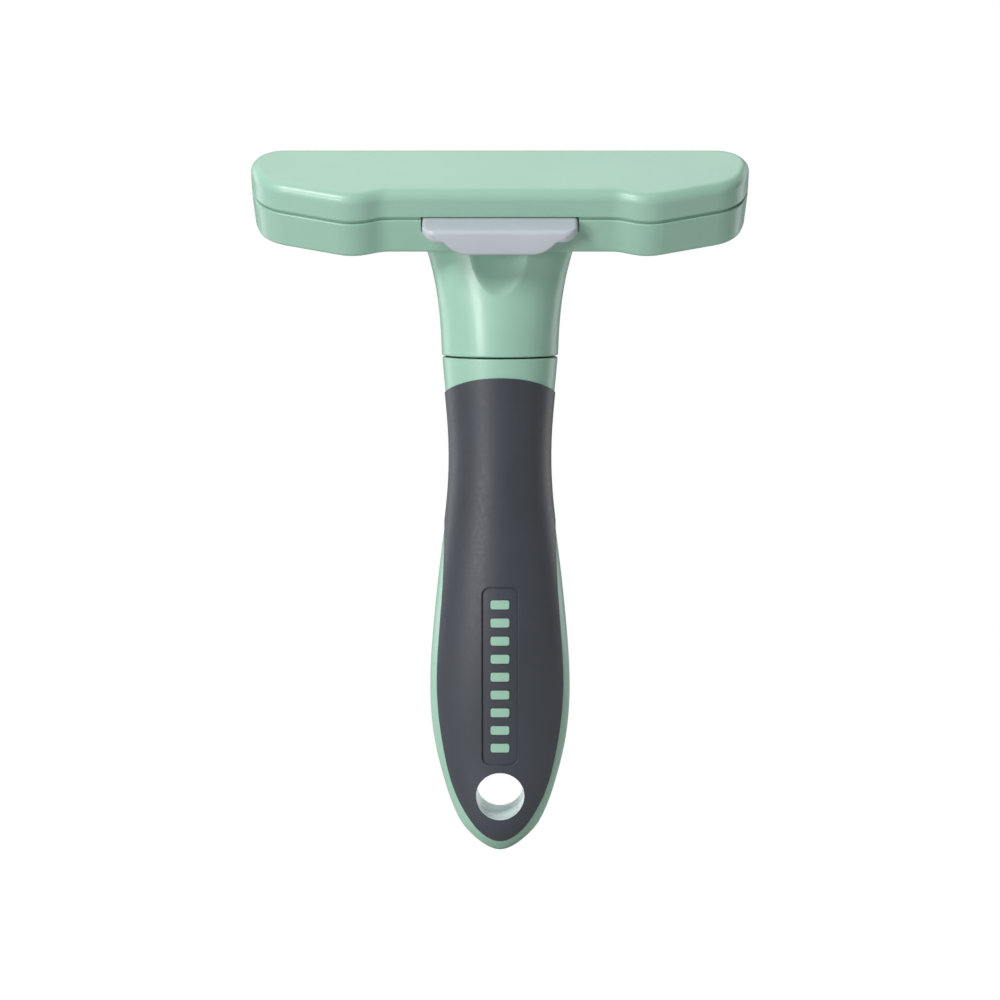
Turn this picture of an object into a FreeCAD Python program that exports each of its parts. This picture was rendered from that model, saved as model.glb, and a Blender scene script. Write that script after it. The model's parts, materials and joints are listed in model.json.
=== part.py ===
import FreeCAD, Part
import math
import os

os.makedirs("parts", exist_ok=True)
V = FreeCAD.Vector

# Deshedding tool in millimetres. It stands on its tail: +Z runs up the handle to the head, +X is to the
# right and -Y is the thumb side. The origin is the middle of the hanging hole. The head has its own
# directions: u along +X, v out along the teeth, w square to the cover, from the front of the seam.

# Handle
handle_length = 122.9
tail_to_hole = 15.1
hole_radius = 6.0
nose_length = 8.9
nose_steps = 6
body_steps = 12
tip_flat = 0.06
grip_thickness = 1.6
grip_raise = 0.25
bond_gap = 0.03
handle_wall = 2.2
handle_rib = 2.0
lower_boss = 7.0
collar_height = 4.6
arch_drop = 6.0
arch_half_width = 14.2
neck_gap = 0.4
edge_round = 0.4
# height as a share of the handle, half width, half depth
handle_shape = [
    (0.0, 6.6, 7.6), (0.1, 12.0, 9.0), (0.2, 15.65, 9.8), (0.33, 17.3, 11.2), (0.46, 16.45, 11.8),
    (0.6, 14.6, 11.6), (0.72, 12.85, 11.2), (0.82, 12.42, 11.2), (0.92, 13.25, 11.7), (1.0, 14.15, 12.2)]
# height as a share of the handle, how far the grip's edge lies inside the outline
grip_margin = [(0.02, 3.3), (0.1, 2.3), (0.2, 2.0), (0.33, 1.75), (0.46, 1.6), (0.6, 0.8), (0.72, -1.0),
               (0.94, -1.5)]

# Panel in the front grip
panel_width = 9.0
panel_length = 44.6
panel_above_hole = 7.8
panel_depth = 0.6
panel_corner = 2.2
bar_count = 9
bar_width = 4.6
bar_height = 2.2
bar_corner = 0.55
bar_proud = 0.25

# Neck and tongue
neck_rise = 34.1
# height as a share of the neck, half width, half depth, and how far its middle lies from the handle's
neck_shape = [(0.0, 14.25, 12.3, 0.0), (0.22, 14.65, 12.0, -0.2), (0.45, 15.72, 11.0, -0.8),
              (0.63, 17.25, 10.0, -1.6), (0.8, 19.3, 9.1, -2.7), (1.0, 22.2, 8.0, -4.2)]
neck_inside = 4.0
neck_steps = 6
neck_wall = 3.2
neck_floor = 6.0
well_margin = 2.0
scoop_half_width = 9.8
scoop_depth = 2.0
scoop_stand_off = 2.0
scoop_height = 12.6
scoop_rise = 1.0
scoop_lean = 5.0
scoop_round = 1.6
tongue_width = 15.0
tongue_thickness = 8.0
tongue_length = 34.0
tongue_root = 2.0
tongue_corner = 1.0
tongue_clearance = 0.1

# Head
head_width = 120.0
head_depth = 23.0
head_tilt = 28.0
head_forward = 18.4
cover_height = 6.8
casing_height = 10.0
head_wall = 2.2
floor_thickness = 1.8
cover_roof = 1.8
casing_draft = 0.65
groove_height = 0.8
groove_depth = 0.8
cover_round = 2.3
casing_round = 1.0
seam_round = 0.25
recess_half = 28.0
bulge_half = 35.0
bulge_out = 2.9
front_corner_back = 5.1
end_slope = 15.0
recess_radius = 8.0
bulge_radius = 10.5
front_corner_radius = 11.0
back_corner_radius = 7.8

# Button and ejector
travel = 5.0
button_width = 37.0
button_height = 3.3
button_root = 2.0
button_corner = 5.5
button_inner_corner = 1.0
button_edge = 0.5
button_clearance = 0.3
tab_drop = 3.0
tab_thickness = 1.2
tab_end_gap = 0.4
tab_top_half = 12.5
tab_bottom_half = 8.0
tab_root = 1.0
tab_corner = 3.0
tab_root_corner = 0.8
stop_wider = 2.5
stop_depth = 2.6
plate_half = 16.0
plate_end = 11.0
lug_place = 12.0
lug_width = 5.0
lug_depth = 2.0
ejector_thickness = 1.6
ejector_depth = 7.4
ejector_stem_half = 15.0
ejector_side_gap = 1.0
slide_gap = 0.1

# Blade
blade_thickness = 0.8
blade_side_gap = 10.0
blade_rear = 10.8
tooth_reach = 6.8
tooth_pitch = 2.0
tooth_width = 1.0
tooth_tip = 0.5
clamp_thickness = 1.2
clamp_depth = 3.8
clamp_inner = 17.0
clamp_end_gap = 1.0

# Springs, pins and screws
spring_radius = 1.6
spring_wire = 0.2
spring_turns = 6
spring_level = 2.3
spring_end_gap = 0.05
spring_boss_depth = 2.0
lug_over_spring = 0.4
pin_radius = 0.8
pin_clearance = 0.25
pin_fit = 0.02
pin_past_lug = 1.0
pin_sink = 0.2
pin_end_gap = 0.1
screw_clearance = 0.2
thread_fit = 0.05
thread_end_gap = 0.5
cover_screw_places = [(30.0, 6.2), (49.0, 7.6)]
cover_screw_radius = 1.2
cover_screw_head = 2.1
cover_screw_sink = 2.0
cover_screw_end = 3.0
cover_boss_radius = 2.7
cover_boss_end = -3.0
cover_boss_gap = 0.2
blade_screw_places = [24.0, 42.0]
blade_screw_radius = 0.9
blade_screw_head = 1.7
blade_screw_bite = 0.8
screw_head_height = 1.2
ejector_screw_place = 6.0
ejector_screw_end = 0.2
tongue_screw_heights = [12.0, 26.0]
lower_screw_height = 16.0
handle_screw_radius = 1.5
handle_screw_head = 2.7
handle_screw_head_height = 1.6
handle_screw_depth = 6.0

# How far a cut runs past what it opens, how far a joined solid reaches into its neighbour, a length past
# the whole object, and the distance under which two levels are the same
cut_past = 1.0
join_in = 0.5
far = 200.0
same = 0.01

handle_top = handle_length - tail_to_hole
tongue_end = handle_top - tongue_length
button_reach = travel + tab_thickness + tab_end_gap
head_height = handle_top + neck_rise
casing_floor = -casing_height + floor_thickness
ejector_top = -button_clearance - button_height
ejector_bottom = ejector_top - ejector_thickness
blade_top = ejector_bottom - slide_gap
blade_bottom = blade_top - blade_thickness
blade_half = head_width / 2 - blade_side_gap
ejector_half = blade_half - ejector_side_gap
clamp_top = blade_top + clamp_thickness
cover_ceiling = cover_height - cover_roof
inner_back = head_depth - head_wall
stop_front = head_wall + button_clearance
stop_back = stop_front + stop_depth
lug_front = plate_end - lug_depth
spring_seat = inner_back - spring_boss_depth
lug_top = spring_level + spring_radius + lug_over_spring
cover_screw_top = -casing_height + cover_screw_sink


def save(name, shape):
    shape.exportStep("parts/" + name + ".step")
    print(name, len(shape.Solids), shape.isValid(), round(shape.Volume, 1))


def box(x0, x1, y0, y1, z0, z1):
    return Part.makeBox(x1 - x0, y1 - y0, z1 - z0, V(x0, y0, z0))


def rod(radius, start, end):
    axis = end - start
    return Part.makeCylinder(radius, axis.Length, start, axis)


def in_head(shape):
    turn = FreeCAD.Rotation(V(1, 0, 0), head_tilt)
    place = FreeCAD.Placement(V(0, -head_forward, head_height), turn)
    moved = shape.copy()
    moved.Placement = place.multiply(moved.Placement)
    return moved


# Closed outline of straight sides whose corners, given as point and radius, are rounded by arcs
def rounded_wire(points, radii):
    edges = []
    last = None
    count = len(points)
    for i in range(count):
        corner = points[i]
        before = (points[i - 1] - corner).normalize()
        after = (points[(i + 1) % count] - corner).normalize()
        half = before.getAngle(after) / 2
        reach = radii[i] / math.tan(half)
        bow = radii[i] / math.sin(half) - radii[i]
        start = corner + before * reach
        middle = corner + (before + after).normalize() * bow
        end = corner + after * reach
        if last is None:
            first = start
        else:
            edges.append(Part.makeLine(last, start))
        edges.append(Part.Arc(start, middle, end).toShape())
        last = end
    edges.append(Part.makeLine(last, first))
    return Part.Wire(edges)


def prism(wire, direction):
    return Part.Face(wire).extrude(direction)


# ---- handle

handle_curve = Part.BSplineCurve()
handle_curve.interpolate(Points=[V(*row) for row in handle_shape],
                         Parameters=[row[0] for row in handle_shape])


# Half width and half depth of the handle at a height, before the tail is rounded off
def handle_size(z):
    share = min(max((z + tail_to_hole) / handle_length, 0), 1)
    row = handle_curve.value(share)
    return row.y, row.z


# Half an oval in a level plane, closed by its straight side; side is -1 for the front and +1 for the back
def half_oval(half_width, half_depth, z, side):
    weight = math.sqrt(0.5)
    poles = [V(-half_width, 0, z), V(-half_width, side * half_depth, z), V(0, side * half_depth, z),
             V(half_width, side * half_depth, z), V(half_width, 0, z)]
    curve = Part.BSplineCurve()
    curve.buildFromPolesMultsKnots(poles, [3, 2, 3], [0, 0.5, 1], False, 2, [1, weight, 1, weight, 1])
    return Part.Wire([curve.toShape(), Part.makeLine(poles[4], poles[0])])


# One half of the handle, its skin moved out by grow
def handle_half(side, grow):
    tip = -tail_to_hole - grow
    nose = nose_length + grow
    sections = [Part.Vertex(0, 0, tip)]
    for i in range(1, nose_steps):
        turn = math.pi / 2 * i / nose_steps
        z = tip + nose * (1 - math.cos(turn))
        half_width, half_depth = handle_size(z)
        sections.append(half_oval((half_width + grow) * math.sin(turn),
                                  (half_depth + grow) * math.sin(turn), z, side))
    for i in range(body_steps + 1):
        z = tip + nose + (handle_top - tip - nose) * i / body_steps
        half_width, half_depth = handle_size(z)
        sections.append(half_oval(half_width + grow, half_depth + grow, z, side))
    below = box(-far, far, -far, far, tip - cut_past, tip + tip_flat)
    return Part.makeLoft(sections, True, False).cut(below)


# Outline of a grip seen from the front: an arch below the collar, then down inside the handle's outline
def grip_outline(shrink):
    arch_low = handle_top - collar_height - arch_drop
    side = []
    for share, margin in reversed(grip_margin[1:]):
        z = share * handle_length - tail_to_hole
        side.append(V(handle_size(z)[0] - margin - shrink, 0, z))
    side[0] = V(arch_half_width - shrink, 0, arch_low)
    tip = V(0, 0, -tail_to_hole + grip_margin[0][1] + shrink)
    mirrored = [V(-p.x, 0, p.z) for p in reversed(side)]
    curve = Part.BSplineCurve()
    curve.interpolate(side + [tip] + mirrored)
    arch = Part.Ellipse(side[0], V(0, 0, arch_low + arch_drop - shrink), V(0, 0, arch_low))
    return Part.Wire([curve.toShape(), Part.Arc(arch, 0, math.pi).toShape()])


def grip_prism(side, shrink):
    return prism(grip_outline(shrink), V(0, side * far, 0))


def hole_tool():
    return rod(hole_radius, V(0, -far, 0), V(0, far, 0))


# Generic bars that show through windows in the panel
def bar_pattern(grow, y0, y1):
    pitch = (panel_length - 2 * panel_corner) / bar_count
    bars = []
    for i in range(bar_count):
        z = panel_above_hole + panel_corner + pitch * (i + 0.5)
        half_width = bar_width / 2 + grow
        half_height = bar_height / 2 + grow
        corners = [V(-half_width, y0, z - half_height), V(half_width, y0, z - half_height),
                   V(half_width, y0, z + half_height), V(-half_width, y0, z + half_height)]
        bars.append(prism(rounded_wire(corners, [bar_corner] * 4), V(0, y1 - y0, 0)))
    return bars


# The panel's floor follows the handle's skin, panel_depth below the grip's face
def panel_cut():
    half = panel_width / 2
    low = panel_above_hole
    high = panel_above_hole + panel_length
    corners = [V(-half, 0, low), V(half, 0, low), V(half, 0, high), V(-half, 0, high)]
    outline = prism(rounded_wire(corners, [panel_corner] * 4), V(0, -far, 0))
    return outline.cut(handle_half(-1, grip_raise - panel_depth))


def make_grip(side):
    layer = handle_half(side, grip_raise).cut(handle_half(side, -grip_thickness + bond_gap))
    grip = layer.common(grip_prism(side, bond_gap)).cut(hole_tool())
    if side < 0:
        grip = grip.cut(panel_cut())
        for window in bar_pattern(bond_gap, -far, 0):
            grip = grip.cut(window)
    return grip


def tongue_screw_levels():
    return [handle_top - drop for drop in tongue_screw_heights]


# One half of the handle's core, with the grip's recess, the hollow and room for the tongue
def handle_core(side):
    recess = grip_prism(side, 0).cut(handle_half(side, -grip_thickness))
    core = handle_half(side, 0)
    top_edges = [e for e in core.Edges if min(v.Z for v in e.Vertexes) > handle_top - same
                 and abs(e.CenterOfMass.y) > edge_round]
    core = core.makeFillet(edge_round, top_edges)
    core = core.cut(recess).cut(hole_tool())
    inner = handle_half(side, -grip_thickness - handle_wall)
    room = box(-far, far, -far, far, lower_screw_height + lower_boss, tongue_end - handle_rib)
    core = core.cut(inner.common(room))
    half = tongue_width / 2 + tongue_clearance
    deep = tongue_thickness / 2 + tongue_clearance
    return core.cut(box(-half, half, -deep, deep, tongue_end - neck_gap, handle_top + cut_past))


def handle_screw_levels():
    return tongue_screw_levels() + [lower_screw_height]


def make_handle_front():
    core = handle_core(-1)
    for z in handle_screw_levels():
        end = V(0, -handle_screw_depth - thread_end_gap, z)
        core = core.cut(rod(handle_screw_radius + thread_fit, V(0, cut_past, z), end))
    skin = handle_half(-1, grip_raise - panel_depth + bar_proud)
    base = handle_half(-1, -grip_thickness - handle_wall / 2)
    for bar in bar_pattern(0, -far, 0):
        core = core.fuse(bar.common(skin).cut(base))
    return core


def make_handle_back():
    core = handle_core(1)
    for z in handle_screw_levels():
        core = core.cut(rod(handle_screw_radius + screw_clearance, V(0, -cut_past, z), V(0, far, z)))
        core = core.cut(rod(handle_screw_head + screw_clearance, V(0, handle_screw_depth, z), V(0, far, z)))
    return core


def handle_screw(z):
    shank = rod(handle_screw_radius, V(0, -handle_screw_depth, z), V(0, handle_screw_depth, z))
    head_end = V(0, handle_screw_depth + handle_screw_head_height, z)
    head = rod(handle_screw_head, V(0, handle_screw_depth, z), head_end)
    return shank.fuse(head).removeSplitter()


# ---- head

def inset_corners(points, inset):
    moved = []
    for i in range(len(points)):
        along_in = (points[i] - points[i - 1]).normalize()
        along_out = (points[(i + 1) % len(points)] - points[i]).normalize()
        inward_in = V(-along_in.y, along_in.x, 0)
        inward_out = V(-along_out.y, along_out.x, 0)
        moved.append(points[i] + (inward_in + inward_out) * (inset / (1 + inward_in.dot(inward_out))))
    return moved


# Plan outline of the head in u and v, its walls moved in by inset
def head_outline(inset, w):
    end = math.radians(end_slope)
    arc_u = head_width / 2 - back_corner_radius
    arc_v = head_depth - back_corner_radius
    back_u = arc_u + back_corner_radius * (1 + math.sin(end)) / math.cos(end)
    front_u = arc_u + (back_corner_radius + math.sin(end) * (front_corner_back - arc_v)) / math.cos(end)
    right = [V(recess_half, 0, w), V(bulge_half, -bulge_out, w), V(front_u, front_corner_back, w),
             V(back_u, head_depth, w)]
    points = right + [V(-p.x, p.y, w) for p in reversed(right)]
    radii = [recess_radius + inset, bulge_radius - inset, front_corner_radius - inset,
             back_corner_radius - inset]
    return rounded_wire(inset_corners(points, inset), radii + radii[::-1])


def edges_at_level(shape, w):
    return [e for e in shape.Edges if all(abs(v.Z - w) < same for v in e.Vertexes)]


def both_sides(places):
    return [(side * u, v) for u, v in places for side in (-1, 1)]


def make_head_cover():
    shell = prism(head_outline(0, 0), V(0, 0, cover_height))
    shell = shell.makeFillet(cover_round, edges_at_level(shell, cover_height))
    shell = shell.makeFillet(seam_round, edges_at_level(shell, 0))
    shell = shell.cut(prism(head_outline(head_wall, -cut_past), V(0, 0, cover_ceiling + cut_past)))
    for u, v in both_sides(cover_screw_places):
        boss = rod(cover_boss_radius, V(u, v, cover_boss_end), V(u, v, cover_ceiling + join_in))
        thread = rod(cover_screw_radius + thread_fit, V(u, v, cover_boss_end - cut_past),
                     V(u, v, cover_screw_end + thread_end_gap))
        shell = shell.fuse(boss).cut(thread)
    for side in (-1, 1):
        u = side * lug_place
        half = lug_width / 2
        seat = box(u - half, u + half, spring_seat, inner_back + join_in,
                   button_clearance, cover_ceiling + join_in)
        socket = rod(pin_radius + pin_fit, V(u, spring_seat - cut_past, spring_level),
                     V(u, inner_back + pin_sink + pin_end_gap, spring_level))
        shell = shell.fuse(seat).cut(socket)
    return shell.removeSplitter()


# The open tray below the seam, before its openings
def casing_tray():
    tray = Part.makeLoft([head_outline(casing_draft, -casing_height), head_outline(0, -groove_height)],
                         True, True)
    tray = tray.makeFillet(casing_round, edges_at_level(tray, -casing_height))
    tray = tray.makeFillet(seam_round, edges_at_level(tray, -groove_height))
    lip = prism(head_outline(groove_depth, -groove_height - join_in), V(0, 0, groove_height + join_in))
    return tray.fuse(lip).removeSplitter()


def oval_wire(half_width, half_depth, forward, z):
    front = half_oval(half_width, half_depth, z, -1).Edges[0]
    back = half_oval(half_width, half_depth, z, 1).Edges[0]
    wire = Part.Wire([front, back])
    wire.translate(V(0, forward, 0))
    return wire


# Neck skin moved in by inset, from the handle's collar up through the underside of the head
def neck_loft(inset, low):
    rows = [V(*row[:3]) for row in neck_shape]
    curve = Part.BSplineCurve()
    curve.interpolate(Points=rows, Parameters=[row[0] for row in neck_shape])
    shift = Part.BSplineCurve()
    shift.interpolate(Points=[V(row[3], 0, row[0]) for row in neck_shape],
                      Parameters=[row[0] for row in neck_shape])
    bottom = handle_top + neck_gap
    top = head_height + neck_inside
    wires = []
    for i in range(neck_steps + 1):
        z = bottom + low + (top - bottom - low) * i / neck_steps
        share = (z - bottom) / (top - bottom)
        size = curve.value(share)
        wires.append(oval_wire(size.y - inset, size.z - inset, shift.value(share).x, z))
    return Part.makeLoft(wires, True, False)


# The solid neck below the head's floor, with the thumb scoop in its front
def solid_neck():
    neck = neck_loft(0, 0)
    rim = [e for e in neck.Edges if all(abs(v.Z - handle_top - neck_gap) < same for v in e.Vertexes)]
    neck = neck.makeFillet(edge_round, rim)
    neck = neck.cut(in_head(box(-far, far, -far, far, casing_floor - join_in, far)))
    scoop = Part.makeSphere(1.0)
    stretch = FreeCAD.Matrix()
    stretch.scale(scoop_half_width, scoop_depth + scoop_stand_off, scoop_height)
    scoop = scoop.transformGeometry(stretch)
    scoop.rotate(V(0, 0, 0), V(1, 0, 0), -scoop_lean)
    neck_front = neck_shape[3][3] - neck_shape[3][2]
    scoop.translate(V(0, neck_front - scoop_stand_off, head_height - casing_height + scoop_rise))
    neck = neck.cut(scoop)
    lips = []
    for edge in neck.Edges:
        middle = (edge.FirstParameter + edge.LastParameter) / 2
        ends = [Part.Vertex(edge.valueAt(place)) for place in (edge.FirstParameter, middle)]
        on_scoop = all(scoop.distToShape(end)[0] < same for end in ends)
        if on_scoop and edge.CenterOfMass.z < head_height - casing_height - scoop_rise:
            lips.append(edge)
    return neck.makeFillet(scoop_round, lips)


def neck_tongue():
    half = tongue_width / 2
    deep = tongue_thickness / 2
    tongue = box(-half, half, -deep, deep, tongue_end, handle_top + neck_gap + tongue_root)
    return tongue.makeFillet(tongue_corner, [e for e in tongue.Edges if e.BoundBox.ZLength > tongue_length])


def blade_screw_centers():
    return both_sides([(place, blade_rear + clamp_depth / 2) for place in blade_screw_places])


# Casing, neck and tongue in one piece: the open tray, hollow into the neck, with its bosses, the blade's
# ledge, the slot for the blade and the notch for the button
def make_head_body():
    core = in_head(prism(head_outline(head_wall, casing_floor), V(0, 0, far)))
    body = in_head(casing_tray()).fuse(solid_neck()).cut(core)
    well = neck_loft(neck_wall, neck_floor)
    body = body.cut(well.common(in_head(box(-far, far, -far, inner_back - well_margin, -far, 0))))
    ledge = prism(head_outline(head_wall - join_in, casing_floor - join_in),
                  V(0, 0, blade_bottom - casing_floor + join_in))
    ledge = ledge.common(box(-blade_half, blade_half, blade_rear, far, -far, 0))
    body = body.fuse(in_head(ledge)).fuse(neck_tongue())
    for u, v in both_sides(cover_screw_places):
        boss_top = V(u, v, cover_boss_end - cover_boss_gap)
        boss = rod(cover_boss_radius, V(u, v, casing_floor - join_in), boss_top)
        bore = rod(cover_screw_radius + screw_clearance, V(u, v, -far), V(u, v, 0))
        sink = rod(cover_screw_head + screw_clearance, V(u, v, -far), V(u, v, cover_screw_top))
        body = body.fuse(in_head(boss)).cut(in_head(bore)).cut(in_head(sink))
    for u, v in blade_screw_centers():
        end = V(u, v, casing_floor - blade_screw_bite - screw_clearance)
        body = body.cut(in_head(rod(blade_screw_radius + thread_fit, end, V(u, v, 0))))
    slot_half = blade_half + button_clearance
    slot = box(-slot_half, slot_half, inner_back - cut_past, far, blade_bottom, ejector_top + slide_gap)
    notch_half = button_width / 2 + button_clearance
    notch = box(-notch_half, notch_half, -far, head_wall + cut_past, ejector_top - button_clearance, far)
    body = body.cut(in_head(slot)).cut(in_head(notch))
    for z in tongue_screw_levels():
        body = body.cut(rod(handle_screw_radius + screw_clearance, V(0, -far, z), V(0, far, z)))
    return body.removeSplitter()


def make_cover_screws():
    screws = []
    low = cover_screw_top
    for u, v in both_sides(cover_screw_places):
        shank = rod(cover_screw_radius, V(u, v, low), V(u, v, cover_screw_end))
        head = rod(cover_screw_head, V(u, v, low - screw_head_height), V(u, v, low))
        screws.append(shank.fuse(head).removeSplitter())
    return Part.makeCompound(screws)


# ---- blade, clamps, button and ejector

def make_comb_blade():
    root = head_depth
    tip = head_depth + tooth_reach
    count = int((2 * blade_half - tooth_width) / tooth_pitch) + 1
    first = -(count - 1) * tooth_pitch / 2
    outline = [V(-blade_half, blade_rear, 0), V(blade_half, blade_rear, 0), V(blade_half, root, 0)]
    for i in reversed(range(count)):
        u = first + i * tooth_pitch
        outline += [V(u + tooth_width / 2, root, 0), V(u + tooth_tip / 2, tip, 0),
                    V(u - tooth_tip / 2, tip, 0), V(u - tooth_width / 2, root, 0)]
    outline += [V(-blade_half, root, 0), V(-blade_half, blade_rear, 0)]
    blade = prism(Part.makePolygon(outline), V(0, 0, blade_thickness))
    blade.translate(V(0, 0, blade_bottom))
    for u, v in blade_screw_centers():
        blade = blade.cut(rod(blade_screw_radius + screw_clearance, V(u, v, -far), V(u, v, far)))
    return blade


def make_blade_clamp(side):
    ends = sorted([side * clamp_inner, side * (blade_half - clamp_end_gap)])
    clamp = box(ends[0], ends[1], blade_rear, blade_rear + clamp_depth, blade_top, clamp_top)
    for u, v in blade_screw_centers():
        clamp = clamp.cut(rod(blade_screw_radius + screw_clearance, V(u, v, -far), V(u, v, far)))
    return clamp


def make_blade_screws():
    screws = []
    for u, v in blade_screw_centers():
        shank = rod(blade_screw_radius, V(u, v, casing_floor - blade_screw_bite), V(u, v, clamp_top))
        head = rod(blade_screw_head, V(u, v, clamp_top), V(u, v, clamp_top + screw_head_height))
        screws.append(shank.fuse(head).removeSplitter())
    return Part.makeCompound(screws)


def ejector_screw_places():
    return both_sides([(ejector_screw_place, (stop_back + lug_front) / 2)])


# Button with its tab in front, wings that stop it behind the front wall, and the plate that carries the
# ejector bar and two lugs for the springs
def make_push_button():
    half = button_width / 2
    top = -button_clearance
    low = ejector_top
    rear = stop_front + button_root
    corners = [V(-half, -button_reach, low), V(half, -button_reach, low),
               V(half, rear, low), V(-half, rear, low)]
    radii = [button_corner, button_corner, button_inner_corner, button_inner_corner]
    block = prism(rounded_wire(corners, radii), V(0, 0, top - low))
    block = block.makeChamfer(button_edge, edges_at_level(block, top) + edges_at_level(block, low))
    tab_low = low - tab_drop
    face = -button_reach
    tab = [V(tab_top_half, face, low + tab_root), V(tab_bottom_half, face, tab_low),
           V(-tab_bottom_half, face, tab_low), V(-tab_top_half, face, low + tab_root)]
    radii = [tab_root_corner, tab_corner, tab_corner, tab_root_corner]
    tab = prism(rounded_wire(tab, radii), V(0, tab_thickness, 0))
    tab = tab.makeChamfer(button_edge, [e for e in tab.Edges if all(v.Y < face + same for v in e.Vertexes)])
    button = block.fuse(tab)
    button = button.fuse(box(-half - stop_wider, half + stop_wider, stop_front, stop_back, low, top))
    button = button.fuse(box(-plate_half, plate_half, stop_back - join_in, plate_end, low, top))
    for side in (-1, 1):
        u = side * lug_place
        lug = box(u - lug_width / 2, u + lug_width / 2, lug_front, plate_end, top - join_in, lug_top)
        hole = rod(pin_radius + pin_clearance, V(u, 0, spring_level), V(u, far, spring_level))
        button = button.fuse(lug).cut(hole)
    for u, v in ejector_screw_places():
        button = button.cut(rod(blade_screw_radius + screw_clearance, V(u, v, -far), V(u, v, far)))
    return button.removeSplitter()


def make_ejector_bar():
    bar_front = head_depth - slide_gap
    bar_back = bar_front - ejector_depth
    bar = box(-ejector_half, ejector_half, bar_back, bar_front, ejector_bottom, ejector_top)
    stem = box(-ejector_stem_half, ejector_stem_half, stop_back, bar_back + join_in,
               ejector_bottom, ejector_top)
    bar = bar.fuse(stem)
    for u, v in ejector_screw_places():
        bar = bar.cut(rod(blade_screw_radius + thread_fit, V(u, v, -far), V(u, v, far)))
    return bar.removeSplitter()


def make_ejector_screws():
    screws = []
    top = -button_clearance
    for u, v in ejector_screw_places():
        shank = rod(blade_screw_radius, V(u, v, ejector_bottom + ejector_screw_end), V(u, v, top))
        head = rod(blade_screw_head, V(u, v, top), V(u, v, top + screw_head_height))
        screws.append(shank.fuse(head).removeSplitter())
    return Part.makeCompound(screws)


def make_return_spring(side):
    middle = spring_radius - spring_wire
    coil = spring_seat - plate_end - 2 * (spring_wire + spring_end_gap)
    helix = Part.makeHelix(coil / spring_turns, coil, middle)
    wire = Part.makeCircle(spring_wire, V(middle, 0, 0), V(0, 1, 0))
    spring = Part.Wire(helix.Edges).makePipeShell([Part.Wire([wire])], True, True)
    spring.rotate(V(0, 0, 0), V(1, 0, 0), -90)
    spring.translate(V(side * lug_place, plate_end + spring_wire + spring_end_gap, spring_level))
    return spring


def make_spring_pin(side):
    u = side * lug_place
    return rod(pin_radius, V(u, lug_front - pin_past_lug, spring_level),
               V(u, inner_back + pin_sink, spring_level))


save("head_body", make_head_body())
save("head_cover", in_head(make_head_cover()))
save("cover_screws", in_head(make_cover_screws()))
save("comb_blade", in_head(make_comb_blade()))
save("blade_clamp_left", in_head(make_blade_clamp(-1)))
save("blade_clamp_right", in_head(make_blade_clamp(1)))
save("blade_screws", in_head(make_blade_screws()))
save("push_button", in_head(make_push_button()))
save("ejector_bar", in_head(make_ejector_bar()))
save("ejector_screws", in_head(make_ejector_screws()))
save("return_spring_left", in_head(make_return_spring(-1)))
save("return_spring_right", in_head(make_return_spring(1)))
save("spring_pin_left", in_head(make_spring_pin(-1)))
save("spring_pin_right", in_head(make_spring_pin(1)))
save("handle_front", make_handle_front())
save("handle_back", make_handle_back())
save("grip_front", make_grip(-1))
save("grip_back", make_grip(1))
save("tongue_screws", Part.makeCompound([handle_screw(z) for z in tongue_screw_levels()]))
save("handle_screw", handle_screw(lower_screw_height))
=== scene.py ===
import json

import bpy
import numpy as np
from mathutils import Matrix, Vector
from mathutils.bvhtree import BVHTree


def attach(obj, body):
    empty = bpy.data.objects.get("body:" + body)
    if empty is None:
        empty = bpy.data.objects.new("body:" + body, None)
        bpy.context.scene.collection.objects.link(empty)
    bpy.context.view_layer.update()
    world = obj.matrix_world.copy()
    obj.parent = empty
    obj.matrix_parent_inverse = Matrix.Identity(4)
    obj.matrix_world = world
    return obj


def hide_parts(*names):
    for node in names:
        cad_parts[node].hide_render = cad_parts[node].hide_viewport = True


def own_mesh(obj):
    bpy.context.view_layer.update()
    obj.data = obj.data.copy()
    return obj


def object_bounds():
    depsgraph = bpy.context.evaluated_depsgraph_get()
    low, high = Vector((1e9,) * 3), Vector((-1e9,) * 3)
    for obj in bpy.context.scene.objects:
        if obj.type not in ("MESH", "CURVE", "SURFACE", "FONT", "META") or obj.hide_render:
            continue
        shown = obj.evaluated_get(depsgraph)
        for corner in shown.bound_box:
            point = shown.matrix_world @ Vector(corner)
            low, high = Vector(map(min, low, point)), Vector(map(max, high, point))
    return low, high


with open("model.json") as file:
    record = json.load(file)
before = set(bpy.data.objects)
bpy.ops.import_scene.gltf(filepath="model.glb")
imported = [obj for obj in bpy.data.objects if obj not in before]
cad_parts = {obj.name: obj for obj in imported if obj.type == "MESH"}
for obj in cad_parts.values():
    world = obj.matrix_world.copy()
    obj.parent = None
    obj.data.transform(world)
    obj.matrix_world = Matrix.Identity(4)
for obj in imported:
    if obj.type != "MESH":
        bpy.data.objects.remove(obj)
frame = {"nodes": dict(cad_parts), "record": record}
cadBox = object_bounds()
nodes = frame["nodes"]
record = frame["record"]
print("frame loaded", len(nodes), "nodes")

# camera: in front of the tool, a little above its middle and looking down at it
camera = {"distance": 0.72, "height": 0.1503, "aimHeight": 0.0724, "lens": 105.8, "sensor": 36.0}


# Camera or light at a place, turned to look at another
def addAimed(name, data, place, aim):
    item = bpy.data.objects.new(name, data)
    bpy.context.scene.collection.objects.link(item)
    item.location = place
    item.rotation_mode = "QUATERNION"
    item.rotation_quaternion = (Vector(aim) - item.location).to_track_quat("-Z", "Y")
    return item


def makeCamera():
    data = bpy.data.cameras.new("viewCamera")
    data.lens = camera["lens"]
    data.sensor_width = camera["sensor"]
    place = (0, -camera["distance"], camera["height"])
    bpy.context.scene.camera = addAimed("viewCamera", data, place, (0, 0, camera["aimHeight"]))


makeCamera()

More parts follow.
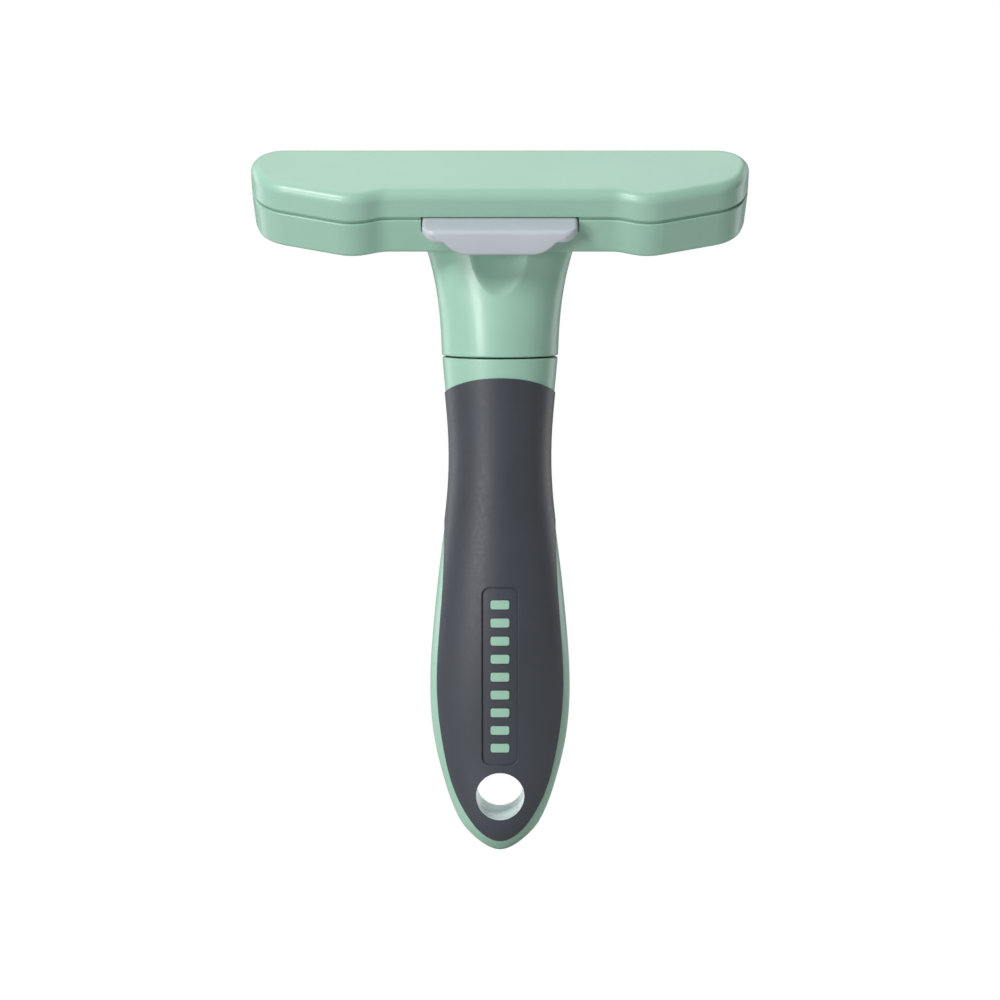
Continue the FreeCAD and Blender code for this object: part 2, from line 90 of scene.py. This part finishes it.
# studio: soft boxes given by their place, what they point at, size and power
studio = {
    "roomColour": (0.93, 0.97, 1.0),
    "roomStrength": 0.14,
    "backdropStrength": 1.0,
    "floorSize": 0.8,
    "floorDrop": 0.0006,
    "floorColour": (0.6, 0.6, 0.6),
    "aim": (0.0, 0.0, 0.07),
    "boxes": [
        # name, place, width, height, power in watts, colour
        ("keyBox", (-0.62, -0.88, 0.85), 0.36, 0.42, 12.5, (1.0, 1.0, 1.0)),
        ("frontBox", (-0.66, -0.98, 0.14), 0.26, 0.26, 6.0, (1.0, 1.0, 1.0)),
        ("topBox", (-0.1, 0.35, 1.0), 1.2, 0.9, 5.5, (1.0, 1.0, 1.0)),
        ("leftRim", (-0.9, 0.55, 0.2), 0.5, 1.2, 4.8, (0.97, 0.99, 1.0)),
        ("rightRim", (0.9, 0.6, 0.2), 0.5, 1.2, 4.8, (0.97, 0.99, 1.0)),
        ("rightFill", (0.9, -0.7, 0.25), 0.5, 0.9, 0.8, (1.0, 1.0, 1.0)),
    ],
}


# Shows one shader to the camera and another to everything else
def mixForCamera(tree, others, seen, target):
    path = tree.nodes.new("ShaderNodeLightPath")
    mix = tree.nodes.new("ShaderNodeMixShader")
    tree.links.new(path.outputs["Is Camera Ray"], mix.inputs["Fac"])
    tree.links.new(others.outputs[0], mix.inputs[1])
    tree.links.new(seen.outputs[0], mix.inputs[2])
    tree.links.new(mix.outputs[0], target)


def makeStudio():
    bpy.context.scene.view_settings.view_transform = "Standard"
    world = bpy.data.worlds.new("studioWorld")
    bpy.context.scene.world = world
    world.use_nodes = True
    tree = world.node_tree
    room = tree.nodes["Background"]
    room.inputs["Color"].default_value = (*studio["roomColour"], 1)
    room.inputs["Strength"].default_value = studio["roomStrength"]
    backdrop = tree.nodes.new("ShaderNodeBackground")
    backdrop.inputs["Color"].default_value = (1, 1, 1, 1)
    backdrop.inputs["Strength"].default_value = studio["backdropStrength"]
    mixForCamera(tree, room, backdrop, tree.nodes["World Output"].inputs["Surface"])

    for name, place, width, height, power, colour in studio["boxes"]:
        data = bpy.data.lights.new(name, "AREA")
        data.shape = "RECTANGLE"
        data.size = width
        data.size_y = height
        data.energy = power
        data.color = colour
        addAimed(name, data, place, studio["aim"])


# Floor under the tail, the same white as the backdrop to the camera and plain pale to everything else
def makeFloor():
    half = studio["floorSize"] / 2
    level = cadBox[0][2] - studio["floorDrop"]
    corners = [(-half, -half, level), (half, -half, level), (half, half, level), (-half, half, level)]
    mesh = bpy.data.meshes.new("floor")
    mesh.from_pydata(corners, [], [(0, 1, 2, 3)])
    item = bpy.data.objects.new("floor", mesh)
    bpy.context.scene.collection.objects.link(item)
    material = bpy.data.materials.new("paleFloor")
    material.use_nodes = True
    tree = material.node_tree
    tree.nodes.remove(tree.nodes["Principled BSDF"])
    diffuse = tree.nodes.new("ShaderNodeBsdfDiffuse")
    diffuse.inputs["Color"].default_value = (*studio["floorColour"], 1)
    glow = tree.nodes.new("ShaderNodeEmission")
    glow.inputs["Strength"].default_value = studio["backdropStrength"]
    mixForCamera(tree, diffuse, glow, tree.nodes["Material Output"].inputs["Surface"])
    mesh.materials.append(material)


makeStudio()
makeFloor()
print("studio ready")


# One node of a material's tree with its constants set and its inputs linked
def addNode(tree, kind, values=None, links=None, **settings):
    node = tree.nodes.new(kind)
    for key, value in settings.items():
        setattr(node, key, value)
    for key, value in (values or {}).items():
        node.inputs[key].default_value = value
    for key, source in (links or {}).items():
        tree.links.new(source, node.inputs[key])
    return node


# Value of a noise in object space; stretch makes the pattern longer or shorter along each axis
def addNoise(tree, scale, detail=2.0, stretch=(1, 1, 1), roughness=0.5):
    place = addNode(tree, "ShaderNodeTexCoord").outputs["Object"]
    if tuple(stretch) != (1, 1, 1):
        place = addNode(tree, "ShaderNodeMapping", {"Scale": stretch}, {"Vector": place}).outputs[0]
    return addNode(tree, "ShaderNodeTexNoise", {"Scale": scale, "Detail": detail, "Roughness": roughness},
                   {"Vector": place}).outputs["Fac"]


def addRange(tree, source, low, high, fromLow=0.3, fromHigh=0.7):
    return addNode(tree, "ShaderNodeMapRange", {"From Min": fromLow, "From Max": fromHigh,
                                                "To Min": low, "To Max": high}, {"Value": source}).outputs[0]


# Colour that goes from one to the other with a factor
def addBlend(tree, factor, dark, light):
    mix = addNode(tree, "ShaderNodeMix", data_type="RGBA")
    mix.inputs[6].default_value = (*dark, 1)
    mix.inputs[7].default_value = (*light, 1)
    tree.links.new(factor, mix.inputs[0])
    return mix.outputs[2]


def addBump(tree, height, depth, strength, normal=None):
    links = {"Height": height}
    if normal is not None:
        links["Normal"] = normal
    return addNode(tree, "ShaderNodeBump", {"Distance": depth, "Strength": strength}, links).outputs[0]


finishes = {
    # moulded plastic: colours of its slow cloudiness, gloss range, grain of the mould, edge softening
    # in metres, clear coat
    "green_shell": {"kind": "plastic", "dark": (0.262, 0.448, 0.347), "light": (0.282, 0.472, 0.368),
                    "rough": (0.38, 0.44), "grain": 2600, "depth": 0.00001, "strength": 0.04, "edge": 0.00022,
                    "coat": 0.14},
    "dark_grip": {"kind": "rubber", "dark": (0.034, 0.038, 0.048), "light": (0.041, 0.046, 0.058),
                  "rough": (0.42, 0.52), "grain": 3600, "depth": 0.00003, "strength": 0.25, "edge": 0.0002,
                  "coat": 0.0},
    "grey_button": {"kind": "plastic", "dark": (0.43, 0.46, 0.50), "light": (0.46, 0.49, 0.53),
                    "rough": (0.30, 0.38), "grain": 2600, "depth": 0.00002, "strength": 0.10, "edge": 0.00018,
                    "coat": 0.1},
    "ejector_plastic": {"kind": "plastic", "dark": (0.50, 0.52, 0.54), "light": (0.55, 0.57, 0.59),
                        "rough": (0.36, 0.46), "grain": 2200, "depth": 0.00002, "strength": 0.12,
                        "edge": 0.00018, "coat": 0.0},
    # near-white mint of the hanging hole's bore: a painted reflection of the white surroundings on the green
    # plastic, not a colour of the wall
    "bore_painted_reflection": {"kind": "plastic", "dark": (0.80, 0.92, 0.90), "light": (0.88, 0.98, 0.96),
                   "rough": (0.16, 0.24), "grain": 2600, "depth": 0.00001, "strength": 0.04, "edge": 0.00005,
                   "coat": 0.5},
    # metal: colour, gloss range, direction in which its brush marks are long
    "blade_steel": {"kind": "metal", "dark": (0.52, 0.53, 0.54), "light": (0.64, 0.65, 0.66),
                    "rough": (0.20, 0.34), "stretch": (0.02, 1, 1), "grain": 9000, "edge": 0.00008},
    "clamp_steel": {"kind": "metal", "dark": (0.45, 0.46, 0.47), "light": (0.56, 0.57, 0.58),
                    "rough": (0.30, 0.44), "stretch": (1, 0.05, 0.05), "grain": 6000, "edge": 0.0001},
    "screw_steel": {"kind": "metal", "dark": (0.48, 0.48, 0.49), "light": (0.60, 0.60, 0.61),
                    "rough": (0.22, 0.36), "stretch": (1, 0.2, 0.2), "grain": 7000, "edge": 0.0001},
    "spring_steel": {"kind": "metal", "dark": (0.50, 0.50, 0.51), "light": (0.62, 0.62, 0.63),
                     "rough": (0.18, 0.30), "stretch": (1, 1, 1), "grain": 8000, "edge": 0.00004},
    "pin_steel": {"kind": "metal", "dark": (0.50, 0.50, 0.51), "light": (0.60, 0.60, 0.61),
                  "rough": (0.24, 0.36), "stretch": (1, 0.1, 0.1), "grain": 7000, "edge": 0.00006},
}


# shared by all finishes: scales of the slow patterns, the shares of the fine ones, shader constants
surface = {"cloudScale": 38, "cloudDetail": 3, "grainDetail": 3, "speckShare": 0.31, "speckDetail": 2,
           "edgeSamples": 6, "plasticIor": 1.5, "coatRoughness": 0.17, "rubberIor": 1.46, "sheen": 0.12,
           "sheenRoughness": 0.45, "brushDetail": 4, "brushRoughness": 0.6, "tarnishScale": 180,
           "tarnishDetail": 3, "brushDepth": 0.00001, "brushStrength": 0.25}


# Normal that rounds off sharp edges by a radius
def addSoftEdges(tree, radius):
    return addNode(tree, "ShaderNodeBevel", {"Radius": radius}, samples=surface["edgeSamples"]).outputs[0]


# Moulded plastic or rubber: slow colour drift, fine mould grain, gloss that varies in fine specks, softened
# edges
def plasticFinish(tree, shader, look):
    cloud = addNoise(tree, surface["cloudScale"], surface["cloudDetail"])
    fine = addNoise(tree, look["grain"], surface["grainDetail"])
    speck = addNoise(tree, look["grain"] * surface["speckShare"], surface["speckDetail"])
    colour = addBlend(tree, addRange(tree, cloud, 0, 1), look["dark"], look["light"])
    tree.links.new(colour, shader.inputs["Base Color"])
    tree.links.new(addRange(tree, speck, *look["rough"]), shader.inputs["Roughness"])
    soft = addSoftEdges(tree, look["edge"])
    normal = addBump(tree, fine, look["depth"], look["strength"], soft)
    tree.links.new(normal, shader.inputs["Normal"])
    shader.inputs["IOR"].default_value = surface["plasticIor"]
    shader.inputs["Coat Weight"].default_value = look["coat"]
    shader.inputs["Coat Roughness"].default_value = surface["coatRoughness"]
    if look["kind"] == "rubber":
        shader.inputs["Sheen Weight"].default_value = surface["sheen"]
        shader.inputs["Sheen Roughness"].default_value = surface["sheenRoughness"]
        shader.inputs["IOR"].default_value = surface["rubberIor"]


# Metal: long brush marks in its colour and bump, and a slow change of gloss
def metalFinish(tree, shader, look):
    brush = addNoise(tree, look["grain"], surface["brushDetail"], look["stretch"], surface["brushRoughness"])
    cloud = addNoise(tree, surface["tarnishScale"], surface["tarnishDetail"])
    marks = addRange(tree, brush, 0, 1)
    colour = addBlend(tree, marks, look["dark"], look["light"])
    tree.links.new(colour, shader.inputs["Base Color"])
    tree.links.new(addRange(tree, cloud, *look["rough"]), shader.inputs["Roughness"])
    soft = addSoftEdges(tree, look["edge"])
    tree.links.new(addBump(tree, brush, surface["brushDepth"], surface["brushStrength"], soft),
                   shader.inputs["Normal"])
    shader.inputs["Metallic"].default_value = 1.0


def makeMaterial(slot):
    look = finishes[slot]
    material = bpy.data.materials.new(slot)
    material.use_nodes = True
    tree = material.node_tree
    shader = tree.nodes["Principled BSDF"]
    if look["kind"] == "metal":
        metalFinish(tree, shader, look)
    else:
        plasticFinish(tree, shader, look)
    return material


materials = {slot: makeMaterial(slot) for slot in finishes}
for row in record["subparts"]:
    mesh = nodes[row["node"]].data
    mesh.materials.clear()
    mesh.materials.append(materials[row["material_slot"]])
print("materials ready", len(materials))

# the head's own directions: across, the way the button slides, and square to the cover
joint = next(row for row in record["behaviour"]["joints"] if row["name"] == "push")
acrossAxis = np.array((1.0, 0.0, 0.0))
slideAxis = np.array(joint["axis"], float)
slideAxis /= np.linalg.norm(slideAxis)
coverAxis = np.cross(acrossAxis, slideAxis)
headAxes = np.array((acrossAxis, slideAxis, coverAxis))
uprightAxes = np.eye(3)


# Places of a node's corners along each of three directions
def nodePlaces(node, axes):
    mesh = nodes[node].data
    points = np.empty(len(mesh.vertices) * 3, np.float32)
    mesh.vertices.foreach_get("co", points)
    return points.reshape(-1, 3) @ axes.T


# Lowest and highest of those places
def nodeExtent(node, axes):
    places = nodePlaces(node, axes)
    return places.min(axis=0), places.max(axis=0)


# Rows of points (rows, columns, 3) joined to a skin whose columns run round; the ends are closed by a strip
# across the ring when it is folded in two, else by a middle point.
def ringSkin(rings, folded=False):
    rows, columns = rings.shape[:2]
    index = np.arange(rows * columns).reshape(rows, columns)
    after = np.roll(index, -1, axis=1)
    quads = np.stack((index[:-1], after[:-1], after[1:], index[1:]), axis=-1).reshape(-1, 4)
    points = rings.reshape(-1, 3)
    if folded:
        half = columns // 2
        first, last = index[0], index[-1]
        low = np.arange(half - 1)
        high = columns - 1 - low
        ends = [np.stack((ring[low], ring[low + 1], ring[high - 1], ring[high]), axis=-1)
                for ring in (first[::-1], last)]
        faces = [quads, *ends]
    else:
        points = np.vstack((points, rings[0].mean(axis=0), rings[-1].mean(axis=0)))
        middle = rows * columns
        first = np.stack((np.full(columns, middle), after[0], index[0]), axis=-1)
        last = np.stack((np.full(columns, middle + 1), index[-1], after[-1]), axis=-1)
        faces = [quads, first, last]
    return points, faces


# Signed volume of a skin: the sum over its triangles of the triple product of their corners, over six
def skinVolume(points, faces):
    total = 0.0
    for block in faces:
        corners = points[block]
        for k in range(1, block.shape[1] - 1):
            total += np.einsum("ij,ij->i", corners[:, 0], np.cross(corners[:, k], corners[:, k + 1])).sum()
    return total / 6


# One object of several closed skins, each turned outwards, with its material and the body it rides on
def makePiece(name, skins, slot, body, replaced=(), material=None, sharpAngle=0.6):
    allPoints = []
    allFaces = []
    offset = 0
    for points, faces in skins:
        outward = skinVolume(points, faces) > 0
        for block in faces:
            allFaces += ((block if outward else block[:, ::-1]) + offset).tolist()
        allPoints.append(points)
        offset += len(points)
    mesh = bpy.data.meshes.new(name)
    mesh.from_pydata(np.vstack(allPoints).tolist(), [], allFaces)
    mesh.validate()
    mesh.shade_smooth()
    mesh.set_sharp_from_angle(angle=sharpAngle)
    mesh.materials.append(material or materials[slot])
    piece = bpy.data.objects.new(name, mesh)
    bpy.context.scene.collection.objects.link(piece)
    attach(piece, body)
    if replaced:
        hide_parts(*replaced)
    print("piece", name, len(mesh.polygons), "faces")
    return piece


# How far a rounding of a radius has still to go at a distance from its start: r - sqrt(r^2 - (r - x)^2)
def roundingLeft(radius, distance):
    rest = np.clip(radius - distance, 0, radius)
    return radius - np.sqrt(radius ** 2 - rest ** 2)


pushButton = {
    "halfWidth": 0.0185, "depth": 0.0111, "height": 0.0031, "topRise": 0.0063,
    "tabDrop": 0.0034, "tabThickness": 0.0012, "tabRootHalf": 0.0134, "tabFootHalf": 0.0074,
    "tabSwell": 2.3, "tabHollow": 0.10,
    "planCorner": 0.0033, "edge": 0.0009, "topCorner": 0.0009, "shoulderCorner": 0.0021,
    "thinnest": 0.00005, "columns": 150, "edgeSteps": 6, "cornerSteps": 12,
    # inner slabs: half width or centre and half width, then places from the front face and from the top
    "wingHalf": 0.0210, "wingFrom": 0.0091, "wingTo": 0.0117,
    "plateHalf": 0.0160, "plateFrom": 0.0112, "plateTo": 0.0176,
    "lugPlace": 0.0120, "lugHalf": 0.0025, "lugFrom": 0.0156, "lugRise": 0.0046, "slabEdge": 0.0003,
}


# Skin of a slab with rounded edges: at each depth its outline is a rounded rectangle moved in by the edge's
# rounding, roundingLeft(edge, distance to the nearer end)
def slabSkin(low, high, edge, axes, edgeRows=5, cornerColumns=6):
    steps = edge * (1 - np.cos(np.linspace(0, np.pi / 2, edgeRows)))
    depths = np.concatenate((low[1] + steps, high[1] - steps[::-1]))
    inset = roundingLeft(edge, np.minimum(depths - low[1], high[1] - depths))[:, None]
    turn = np.linspace(0, np.pi / 2, cornerColumns)
    quarter = np.array([[1, 1], [-1, 1], [-1, -1], [1, -1]])
    angle = np.concatenate([turn + k * np.pi / 2 for k in range(4)])[None]
    side = np.repeat(quarter, len(turn), axis=0)[None]
    middle = (np.array(low) + np.array(high)) / 2
    half = (np.array(high) - np.array(low)) / 2
    u = middle[0] + side[..., 0] * (half[0] - edge) + (edge - inset) * np.cos(angle)
    w = middle[2] + side[..., 1] * (half[2] - edge) + (edge - inset) * np.sin(angle)
    v = np.broadcast_to(depths[:, None], u.shape)
    return ringSkin(np.stack((u, v, w), axis=-1) @ axes)


# Height of the button's underside below its top: flat shoulders, then for the tab the fall
# 1 - (1 - t)^swell of t, the way in from the tab's root to its foot, with its start hollowed
def undersideDrop(u, withTab):
    look = pushButton
    t = (look["tabRootHalf"] - np.abs(u)) / (look["tabRootHalf"] - look["tabFootHalf"])
    fall = 1 - np.power(np.clip(1 - t, 0, None), look["tabSwell"])
    fall = (fall + np.sqrt(fall ** 2 + look["tabHollow"] ** 2)) / 2
    return look["height"] + withTab * look["tabDrop"] * np.clip(fall, 0, 1)


# The button's block with its tab: at each depth a ring of the top from left to right and the underside
# back, as wide as the plan's corner arc lets it, flat + sqrt(R^2 - (R - depth)^2)
def buttonSkin(front, top):
    look = pushButton
    edge, corner = look["edge"], look["planCorner"]
    turns = np.linspace(0, np.pi / 2, look["edgeSteps"] + 1)
    cornerTurns = np.linspace(np.arccos(1 - edge / corner), np.pi / 2, look["cornerSteps"] + 1)[1:]
    depths = np.concatenate((edge * (1 - np.cos(turns)), corner * (1 - np.cos(cornerTurns)), [look["depth"]]))
    tabEnd = look["tabThickness"]
    depths = np.concatenate((depths[depths < tabEnd], [tabEnd, tabEnd], depths[depths > tabEnd]))
    withTab = np.arange(len(depths)) <= np.flatnonzero(depths == tabEnd)[0]
    depths, withTab = depths[:, None], withTab[:, None]
    halfWidth = look["halfWidth"] - roundingLeft(corner, depths)
    inset = roundingLeft(edge, depths)
    u = halfWidth * np.sin(np.linspace(-np.pi / 2, np.pi / 2, look["columns"]))[None]
    fromSide = halfWidth - np.abs(u)
    topW = top - inset - roundingLeft(look["topCorner"], fromSide)
    lowW = top - undersideDrop(u, withTab) + inset + roundingLeft(look["shoulderCorner"], fromSide)
    lowW = np.minimum(lowW, topW - look["thinnest"])
    v = front + np.broadcast_to(depths, u.shape)
    upper = np.stack((u, v, topW), axis=-1)
    lower = np.stack((u, v, lowW), axis=-1)[:, ::-1]
    return ringSkin(np.concatenate((upper, lower), axis=1) @ headAxes, folded=True)


def makePushButton():
    look = pushButton
    low, high = nodeExtent("push_button", headAxes)
    front = low[1]
    top = low[2] + look["topRise"]
    floor = top - look["height"]
    edge = look["slabEdge"]
    skins = [buttonSkin(front, top)]
    for half, start, end in ((look["wingHalf"], look["wingFrom"], look["wingTo"]),
                             (look["plateHalf"], look["plateFrom"], look["plateTo"])):
        skins.append(slabSkin((-half, front + start, floor), (half, front + end, top), edge, headAxes))
    for side in (-1, 1):
        u = side * look["lugPlace"]
        skins.append(slabSkin((u - look["lugHalf"], front + look["lugFrom"], top - edge * 2),
                              (u + look["lugHalf"], front + look["plateTo"], top + look["lugRise"]),
                              edge, headAxes))
    makePiece("buttonShell", skins, "grey_button", "pusher", ["push_button"])


makePushButton()

# thin pale sheet in the hanging hole: its near-white colour is a painted reflection of the white surroundings
# on the green bore. Fine grooves round its wall, each a dip exp(-((y - place) / width)^2).
# It ends a recess inside the grips' skin, which is looked for at castShare of its radius, from castFrom away.
boreReflectionSheet = {"radius": 0.0060, "seat": 0.00001, "wall": 0.00012, "recess": 0.00035,
             "castShare": 1.04, "castFrom": 0.1, "columns": 160, "rows": 61,
             "grooves": (-0.0052, -0.0046, -0.0012, 0.0, 0.0034), "grooveWidth": 0.00014,
             "grooveDepth": 0.00008}


# Where a line along Y, square to the tool's front, first meets a grip at each place round the hole
def gripSurface(node, direction, x, z):
    skin = nodes[node].data
    points = [tuple(v.co) for v in skin.vertices]
    tree = BVHTree.FromPolygons(points, [tuple(p.vertices) for p in skin.polygons])
    start = -direction * boreReflectionSheet["castFrom"]
    hits = [tree.ray_cast(Vector((a, start, b)), Vector((0, direction, 0)))[0] for a, b in zip(x, z)]
    return np.array([hit.y for hit in hits])


def makeBoreReflectionSheet():
    look = boreReflectionSheet
    angle = np.linspace(0, 2 * np.pi, look["columns"], endpoint=False)
    ring = look["radius"] * look["castShare"]
    front = gripSurface("grip_front", 1, ring * np.cos(angle), ring * np.sin(angle)) + look["recess"]
    back = gripSurface("grip_back", -1, ring * np.cos(angle), ring * np.sin(angle)) - look["recess"]
    share = np.linspace(0, 1, look["rows"])[:, None]
    y = front + (back - front) * share
    dips = sum(np.exp(-((y - place) / look["grooveWidth"]) ** 2) for place in look["grooves"])
    outer = np.full_like(y, look["radius"] - look["seat"])
    inner = look["radius"] - look["wall"] + look["grooveDepth"] * dips
    radius = np.concatenate((inner, outer[::-1]))
    depth = np.concatenate((y, y[::-1]))
    rings = np.stack((radius * np.cos(angle), depth, radius * np.sin(angle)), axis=-1)
    rows, columns = rings.shape[:2]
    index = np.arange(rows * columns).reshape(rows, columns)
    nextRow = np.roll(index, -1, axis=0)
    quads = np.stack((index, np.roll(index, -1, axis=1), np.roll(nextRow, -1, axis=1), nextRow), axis=-1)
    skin = (rings.reshape(-1, 3), [quads.reshape(-1, 4)])
    # the bore is the green shell; the pale material laid on it is a painted reflection
    makePiece("boreReflectionSheet", [skin], "green_shell", "tool", material=materials["bore_painted_reflection"])


makeBoreReflectionSheet()

# screws with a domed head and a cross recess; the recess's outline at an angle a is
# hollow + (reach - hollow) * |cos 2a|^4, and the dome falls by domeDrop * (r / rim)^2
crossScrew = {"columns": 64, "hollow": 0.26, "reach": 0.62, "depth": 0.62, "dome": 0.22, "edge": 0.00025,
              "point": 0.0004, "pointShare": 0.55, "edgeTurns": (0.25, 0.5, 0.75, 1.0), "crown": (0.86, 0.74),
              # how wide the cross is at each share of its depth
              "cross": ((1.0, 0.0), (0.94, 0.35), (0.80, 1.0))}


# Skin of one screw from its point to its head: rings (radius, height) along the axis from foot to crown
def screwSkin(foot, crown, axis, shankRadius, headRadius, headHeight):
    look = crossScrew
    angle = np.linspace(0, 2 * np.pi, look["columns"], endpoint=False)
    side = np.cross(axis, acrossAxis)
    side = side / np.linalg.norm(side)
    other = np.cross(axis, side)
    length = np.dot(crown - foot, axis)
    neck = length - headHeight
    drop = look["dome"] * headHeight
    edge = look["edge"]
    rows = [(shankRadius * look["pointShare"], 0), (shankRadius, look["point"]), (shankRadius, neck),
            (headRadius, neck), (headRadius, length - drop - edge)]
    for turn in np.array(look["edgeTurns"]) * np.pi / 2:
        rows.append((headRadius - edge * (1 - np.cos(turn)), length - drop - edge * (1 - np.sin(turn))))
    for share in look["crown"]:
        rows.append((headRadius * share, length - drop * share ** 2))
    star = look["hollow"] + (look["reach"] - look["hollow"]) * np.abs(np.cos(2 * angle)) ** 4
    rings = [np.full_like(angle, radius) for radius, _ in rows]
    heights = [np.full_like(angle, height) for _, height in rows]
    for scale, deep in look["cross"]:
        radius = headRadius * star * scale
        rings.append(radius)
        heights.append(length - drop * (radius / headRadius) ** 2 - deep * look["depth"] * headHeight)
    radius, height = np.array(rings)[..., None], np.array(heights)[..., None]
    turnedX, turnedY = np.cos(angle)[None, :, None], np.sin(angle)[None, :, None]
    return ringSkin(foot + height * axis + radius * (turnedX * side + turnedY * other))


handleScrews = {"shank": 0.0015, "head": 0.0027, "headHeight": 0.0016}
coverScrews = {"shank": 0.0012, "head": 0.0021, "headHeight": 0.0012, "apart": 0.004}


def makeHandleScrews():
    look = handleScrews
    axis = np.array((0.0, 1.0, 0.0))
    for node, name, count in (("tongue_screws", "tongueScrews", 2), ("handle_screw", "handleScrew", 1)):
        low, high = nodeExtent(node, uprightAxes)
        levels = np.linspace(low[2] + look["head"], high[2] - look["head"], count)
        skins = [screwSkin(np.array((0, low[1], z)), np.array((0, high[1], z)), axis,
                           look["shank"], look["head"], look["headHeight"]) for z in levels]
        makePiece(name, skins, "screw_steel", "tool", [node])


# Centres of the screws of a node: the middles of its parts, found from corners that lie close together
def partCentres(node, axes, spacing):
    places = nodePlaces(node, axes)
    order = places[np.argsort(places[:, 0])]
    groups = np.split(order, np.flatnonzero(np.diff(order[:, 0]) > spacing) + 1)
    return [(group.min(axis=0) + group.max(axis=0)) / 2 for group in groups]


def makeCoverScrews():
    look = coverScrews
    low, high = nodeExtent("cover_screws", headAxes)
    skins = []
    for centre in partCentres("cover_screws", headAxes, look["apart"]):
        foot = np.array((centre[0], centre[1], high[2])) @ headAxes
        crown = np.array((centre[0], centre[1], low[2])) @ headAxes
        skins.append(screwSkin(foot, crown, -coverAxis, look["shank"], look["head"], look["headHeight"]))
    makePiece("coverScrews", skins, "screw_steel", "tool", ["cover_screws"])


makeHandleScrews()
makeCoverScrews()

# comb blade: a plate and a row of teeth that taper to rounded tips; a tooth's outline at a share t of its
# length is a superellipse as wide as width + (tip - width) * t and as thick as thick + (thin - thick) * t
combTeeth = {"pitch": 0.0020, "width": 0.0010, "tip": 0.0005, "thin": 0.55, "reach": 0.0068, "rootIn": 0.0008,
             "columns": 12, "rows": 6, "edge": 0.00015, "squareness": 0.7, "tipTurns": (0.3, 0.6, 0.9)}


def toothSkin(u, root, tip, low, high):
    look = combTeeth
    angle = np.linspace(0, 2 * np.pi, look["columns"], endpoint=False) + np.pi / look["columns"]
    share = np.linspace(0, 1, look["rows"])
    halfWidth = (look["width"] + (look["tip"] - look["width"]) * share) / 2
    halfThick = (high - low) / 2 * (1 + (look["thin"] - 1) * share)
    rounded = look["tip"] / 2
    turns = np.array(look["tipTurns"]) * np.pi / 2
    v = np.concatenate((root + (tip - rounded - root) * share, tip - rounded * (1 - np.sin(turns))))
    halfWidth = np.concatenate((halfWidth, halfWidth[-1] * np.cos(turns)))[:, None]
    halfThick = np.concatenate((halfThick, halfThick[-1] * np.cos(turns)))[:, None]
    across = np.sign(np.cos(angle)) * np.abs(np.cos(angle)) ** look["squareness"]
    up = np.sign(np.sin(angle)) * np.abs(np.sin(angle)) ** look["squareness"]
    rings = np.stack((u + halfWidth * across, np.broadcast_to(v[:, None], (len(v), len(angle))),
                      (low + high) / 2 + halfThick * up), axis=-1)
    return ringSkin(rings @ headAxes)


def makeCombBlade():
    look = combTeeth
    low, high = nodeExtent("comb_blade", headAxes)
    root = high[1] - look["reach"]
    skins = [slabSkin(low, (high[0], root, high[2]), look["edge"], headAxes)]
    half = (high[0] - low[0]) / 2
    count = int((2 * half - look["width"]) / look["pitch"] + 1e-6) + 1
    for u in (np.arange(count) - (count - 1) / 2) * look["pitch"]:
        skins.append(toothSkin(u, root - look["rootIn"], high[1], low[2], high[2]))
    makePiece("combBlade", skins, "blade_steel", "tool", ["comb_blade"])


makeCombBlade()

# return springs: a wire of round section along the helix (R cos a, length * a / (2 pi turns), R sin a)
returnSpring = {"wire": 0.0002, "turns": 6, "perTurn": 36, "columns": 10}


def makeReturnSpring(node, name):
    look = returnSpring
    wire = look["wire"]
    low, high = nodeExtent(node, headAxes)
    middle = (low + high) / 2
    radius = (high[0] - low[0]) / 2 - wire
    length = high[1] - low[1] - 2 * wire
    share = np.linspace(0, 1, look["turns"] * look["perTurn"] + 1)
    turn = 2 * np.pi * look["turns"] * share
    still = np.zeros_like(turn)
    outward = np.stack((np.cos(turn), still, np.sin(turn)), axis=-1)
    rise = length / (2 * np.pi * look["turns"])
    along = np.stack((-radius * np.sin(turn), still + rise, radius * np.cos(turn)), axis=-1)
    along /= np.linalg.norm(along, axis=1, keepdims=True)
    upward = np.cross(along, outward)
    start = np.array((middle[0], low[1] + wire, middle[2]))
    line = start + radius * outward + length * share[:, None] * np.array((0, 1.0, 0))
    around = np.linspace(0, 2 * np.pi, look["columns"], endpoint=False)[None, :, None]
    rings = line[:, None] + wire * (np.cos(around) * outward[:, None] + np.sin(around) * upward[:, None])
    piece = makePiece(name, [ringSkin(rings @ headAxes)], "spring_steel", "pusher", [node], sharpAngle=1.2)
    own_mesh(piece)


makeReturnSpring("return_spring_left", "returnSpringLeft")
makeReturnSpring("return_spring_right", "returnSpringRight")
